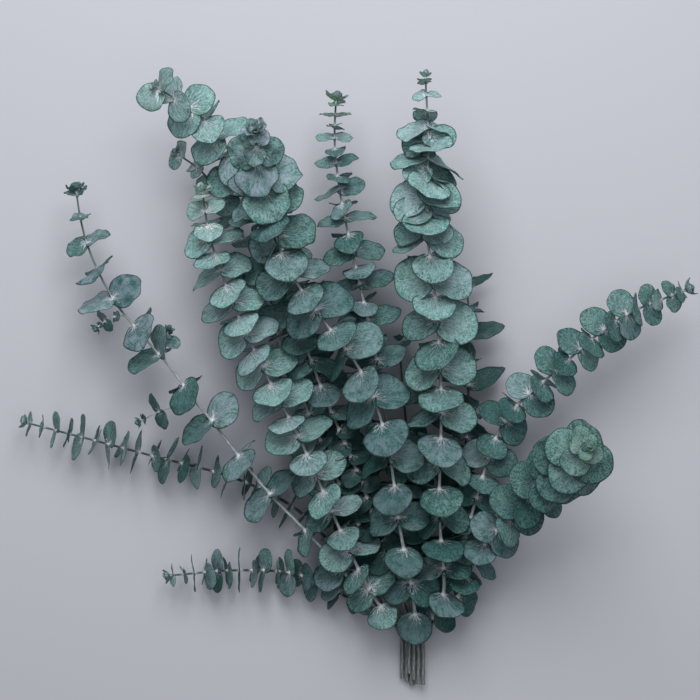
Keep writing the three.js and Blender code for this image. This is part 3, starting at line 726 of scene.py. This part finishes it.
# The rim is a thin dark line, partly the leaf's own margin and partly painted edge shade, and small dark
# specks are scattered over parts of the blades
rim_line_and_edge_shade = add(tree, "MapRange", {"Value": rim_share, "From Min": 0.935, "From Max": 0.985, "To Max": 0.9})
colour = add(tree, "Mix", {0: rim_line_and_edge_shade, 6: colour, 7: linear(LEAF_RIM)}, out=2, data_type="RGBA")
specks = add(tree, "TexVoronoi", {"Vector": flat, "Scale": 1 / SPECK_MM}, out="Distance", feature="F1")
speck = add(tree, "MapRange", {"Value": specks, "From Min": 0.2, "From Max": 0.12})
speckled = add(tree, "MapRange", {"Value": cloud, "From Min": 0.5, "From Max": 0.58, "To Max": 0.85})
speck_tint = add(tree, "Math", {0: speck, 1: speckled}, operation="MULTIPLY")
colour = add(tree, "Mix", {0: speck_tint, 6: colour, 7: linear(LEAF_RIM)}, out=2, data_type="RGBA")

relief = add(tree, "Math", {0: grain, 1: veins}, operation="SUBTRACT")
bump = add(tree, "Bump", {"Height": relief, "Strength": 0.35, "Distance": 0.25 * MM})
tree.links.new(colour, shader.inputs["Base Color"])
tree.links.new(bump, shader.inputs["Normal"])

# Young tips, the last tenth of a stem: some are still fresh green, one is thick with lilac wax
YOUNG_SHARE = 0.1
FRESH_TIPS = defaultdict(lambda: 0.1, {
    "stem_top_middle": 0.9, "stem_left_column": 0.5, "stem_right_rosette": 0.55, "stem_low_left": 0.2,
})
LILAC_TIPS = defaultdict(lambda: 0.1, {"stem_front_middle": 1.0})

# How lilac whole stems are, the shares of single leaves that are teal or grey, and how much they are so
LILAC_STEMS = defaultdict(float, {"stem_far_left": 0.5, "stem_front_middle": 0.25, "stem_top_middle": 0.2})
TEAL_LEAVES = 0.35
TEALNESS = (0.4, 1.0)
GREY_LEAVES = 0.2
GREYNESS = 0.4
UNDERSIDE_TINT = 0.8

# Six small leaves open round each tip. For each: its lean off the stalk in degrees, its share of the
# widest one's width, and how far up the bud it sits, in millimetres
BUD_LEAVES = [
    (52, 1.0, 0.0), (52, 0.85, 0.8), (52, 1.0, 0.0), (52, 0.85, 0.8), (24, 0.55, 2.0), (24, 0.55, 2.0),
]
BUD_LEAN_SPREAD = 12
BUD_LEAF_CUP = -0.14
SHOOT_BUD_SHARE = 0.6

# The width of the widest of them, in millimetres
BUD_LEAF_WIDTH = defaultdict(lambda: 6.5, {
    "stem_top_middle": 11.5, "stem_far_left": 10.0, "stem_right": 11.0, "stem_right_rosette": 7.5,
    "stem_front_middle": 12.5, "stem_left_column": 9.0, "stem_low_left": 8.0, "stem_lowest_left": 8.0,
})

# How pale the lowest and the last leaves of each stem are, from -1 (darkest) to 1 (palest), the same for the
# extra pairs, and how much the leaves of one stem differ. Where the lowest leaves are darker than the last,
# that is partly their age and partly painted shade in the dense lower bunch; tones below nought are painted
# shade for leaves deep in the bunch.
PALENESS = defaultdict(lambda: (0.15, 0.5), {
    "stem_tall": (-0.2, 1.2), "stem_left_column": (0.25, 1.25), "stem_front_middle": (-0.3, 0.45),
    "stem_top_left": (0.05, 0.85), "stem_slender_left": (0.05, 0.7), "stem_right_rosette": (-0.3, 0.35),
    "stem_far_left": (0.4, 0.05), "stem_top_middle": (0.0, 0.35), "stem_right": (-0.2, 0.4),
    "stem_low_left": (0.2, 0.7), "stem_lowest_left": (0.1, 0.6),
    "stem_inner_left": (-0.8, -0.4), "stem_inner_middle": (-0.8, -0.4), "stem_inner_right": (-0.8, -0.6),
})
# Painted shade: the extra pairs deep in the bunch take the dark tone -0.8, all but the tall stem's nest,
# which is pale
EXTRA_PALENESS = defaultdict(lambda: (-0.8, -0.8), {"stem_tall": (0.0, 0.9)})
PALENESS_RISE = 0.75
TONE_SPREAD = defaultdict(lambda: 0.14, {
    "stem_low_left": 0.35, "stem_lowest_left": 0.3, "stem_far_left": 0.25,
})

# How far the wax bloom spreads from the foot, against that of most stems
BLOOM_SPREAD = defaultdict(lambda: 1.0, {
    "stem_left_column": 1.3, "stem_slender_left": 1.2, "stem_top_left": 1.1, "stem_front_middle": 1.15,
    "stem_tall": 1.1, "stem_right": 0.8, "stem_right_rosette": 0.85,
})

# How crumpled the last leaves of each stem dried, and over what share of its length: the front stem's most
CRUMPLED_SHARE = 0.3
CRUMPLED_TIPS = defaultdict(lambda: 0.25, {
    "stem_front_middle": 2.0, "stem_far_left": 0.9, "stem_top_left": 0.4,
})

# How far the leaves of some stems are drawn out to a blunt point, as a share of their length
POINTED_SHARE = defaultdict(float, {"stem_inner_right": 0.21, "stem_top_middle": 0.07})

# How wavy the rims are, as a share of the leaf's width
WAVE_SHARE = defaultdict(lambda: 0.034, {
    "stem_low_left": 0.01, "stem_lowest_left": 0.01, "stem_right": 0.024,
})
FIRST_SEED = 40

for number, node in enumerate(sorted(stems)):
    random = np.random.RandomState(FIRST_SEED + number)
    whole = max(leaf["far"] for leaf in stems[node]["leaves"])
    small = []
    for tip in stems[node]["tips"]:
        ahead = tip["ahead"]
        side = np.cross(ahead, [0.3, 0.2, 1.0])
        side /= np.linalg.norm(side)
        for turn, (degrees, size, height) in enumerate(BUD_LEAVES):
            out = (side if turn % 2 == 0 else np.cross(side, ahead)) * (1 if turn % 4 < 2 else -1)
            lean = math.radians(degrees + random.uniform(-BUD_LEAN_SPREAD, BUD_LEAN_SPREAD))
            width = BUD_LEAF_WIDTH[node] * (SHOOT_BUD_SHARE if tip["is_shoot"] else 1.0) * size
            face = ahead * math.sin(lean) - out * math.cos(lean)
            along = ahead * math.cos(lean) + out * math.sin(lean)
            small.append({
                "root": tip["place"] + ahead * height,
                "along": along,
                "across": np.cross(along, face),
                "face": face,
                "length": width * LENGTH_TO_WIDTH,
                "width": width,
                "depth": width * BUD_LEAF_CUP,
                "far": whole,
            })
    grown = []
    faces = []
    tones = []
    lilacs = []
    near = min(leaf["far"] for leaf in stems[node]["leaves"])
    shown = len(stems[node]["leaves"]) + len(small)
    for count, leaf in enumerate(stems[node]["leaves"] + small + stems[node]["extra"]):
        leaf["point"] = POINTED_SHARE[node] * random.uniform(0.6, 1.2)
        leaf["wave"] = WAVE_SHARE[node]
        leaf["crumple"] = CRUMPLED_TIPS[node] * max(0.0, 1 - (1 - leaf["far"] / whole) / CRUMPLED_SHARE)
        grown.append(grow_leaf(leaf, random))
        corner_count = len(grown[-1][0])
        faces += [tuple(count * corner_count + c for c in face) for face in ONE_LEAF]
        youth = max(0.0, 1 - (1 - leaf["far"] / whole) / YOUNG_SHARE)
        tone = np.zeros((corner_count, 3))
        # Each leaf's tone rises from the stem's low value to its high one toward the last leaf; the darker
        # tones are partly age and partly painted shade in the dense bunch
        low, high = PALENESS[node] if count < shown else EXTRA_PALENESS[node]
        risen = max(0.0, (leaf["far"] - near) / (whole - near)) ** PALENESS_RISE
        tone[:, 0] = np.clip(random.normal(low + (high - low) * risen, TONE_SPREAD[node]), -1, 1)
        tone[:, 1] = youth ** 2 * FRESH_TIPS[node] * random.uniform(0.5, 1.0)
        tone[corner_count // 2:, 2] = UNDERSIDE_TINT
        tones.append(tone)
        waxed = max(0.0, 1 - (1 - leaf["far"] / whole) / YOUNG_SHARE / 2) * LILAC_TIPS[node]
        waxed = max(waxed, LILAC_STEMS[node] * random.uniform(0.5, 1.5))
        kind = random.uniform()
        if kind < TEAL_LEAVES:
            waxed -= random.uniform(*TEALNESS)
        elif kind > 1 - GREY_LEAVES:
            waxed = max(waxed, GREYNESS)
        lilacs.append(np.full(corner_count, waxed))
    piece = new_object(f"{node}_leaves", np.vstack([leaf[0] for leaf in grown]), faces, leaf_skin, {
        "leaf_mm": np.vstack([leaf[1] for leaf in grown]),
        "leaf_share": np.vstack([leaf[2] for leaf in grown]),
        "leaf_foot_mm": np.concatenate([leaf[3] for leaf in grown]) / BLOOM_SPREAD[node],
        "leaf_tone": np.vstack(tones),
        "leaf_lilac": np.concatenate(lilacs),
    })
    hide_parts(node)
    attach(piece, "root")

# The surface, the light and the camera
# A plain pale grey floor. One large soft light stands beyond the tips of the stems and a wider, weaker one
# hangs above them, as in a studio. The camera looks straight down from two metres, with the photo's frame.
FLOOR_GREY = "#CECFD7"
FLOOR_REACH = 4.0
FLOOR_DROP = -0.0004
ROOM_WHITE = "#E6EAF2"
ROOM_STRENGTH = 0.24
PHOTO_SCALE = 0.8 * MM
PHOTO_CENTRE = (-2.2 * MM, 27.2 * MM)
CAMERA_HEIGHT = 2.04
FRAMED_HEIGHT = 0.04
IMAGE_SIZE = 700
SENSOR_MM = 36

floor_paint, tree, shader = new_material("matt_floor_paint", roughness=0.9, ior=1.5)
shader.inputs["Base Color"].default_value = linear(FLOOR_GREY)
mesh = bpy.data.meshes.new("floor")
corners = [(x * FLOOR_REACH, y * FLOOR_REACH, FLOOR_DROP) for x, y in ((-1, -1), (1, -1), (1, 1), (-1, 1))]
mesh.from_pydata(corners, [], [(0, 1, 2, 3)])
mesh.materials.append(floor_paint)
floor = bpy.data.objects.new("floor", mesh)
bpy.context.scene.collection.objects.link(floor)


def soft_light(name, place, size, watts):
    """A large square lamp that faces the middle of the bunch."""
    lamp = bpy.data.lights.new(name, "AREA")
    lamp.size = size
    lamp.energy = watts
    holder = bpy.data.objects.new(name, lamp)
    holder.location = place
    holder.rotation_euler = (-Vector(place)).to_track_quat("-Z", "Y").to_euler()
    bpy.context.scene.collection.objects.link(holder)


soft_light("key", (-0.04, 0.86, 1.1), size=1.0, watts=13.9)
soft_light("fill", (0.15, 0.1, 1.9), size=1.6, watts=6.2)

world = bpy.data.worlds.new("studio")
world.use_nodes = True
world.node_tree.nodes["Background"].inputs["Color"].default_value = linear(ROOM_WHITE)
world.node_tree.nodes["Background"].inputs["Strength"].default_value = ROOM_STRENGTH
bpy.context.scene.world = world
bpy.context.scene.view_settings.view_transform = "Standard"

lens = bpy.data.cameras.new("camera")
lens.sensor_width = SENSOR_MM
lens.lens = SENSOR_MM * (CAMERA_HEIGHT - FRAMED_HEIGHT) / (IMAGE_SIZE * PHOTO_SCALE)
camera = bpy.data.objects.new("camera", lens)
camera.location = (*PHOTO_CENTRE, CAMERA_HEIGHT)
bpy.context.scene.collection.objects.link(camera)
bpy.context.scene.camera = camera
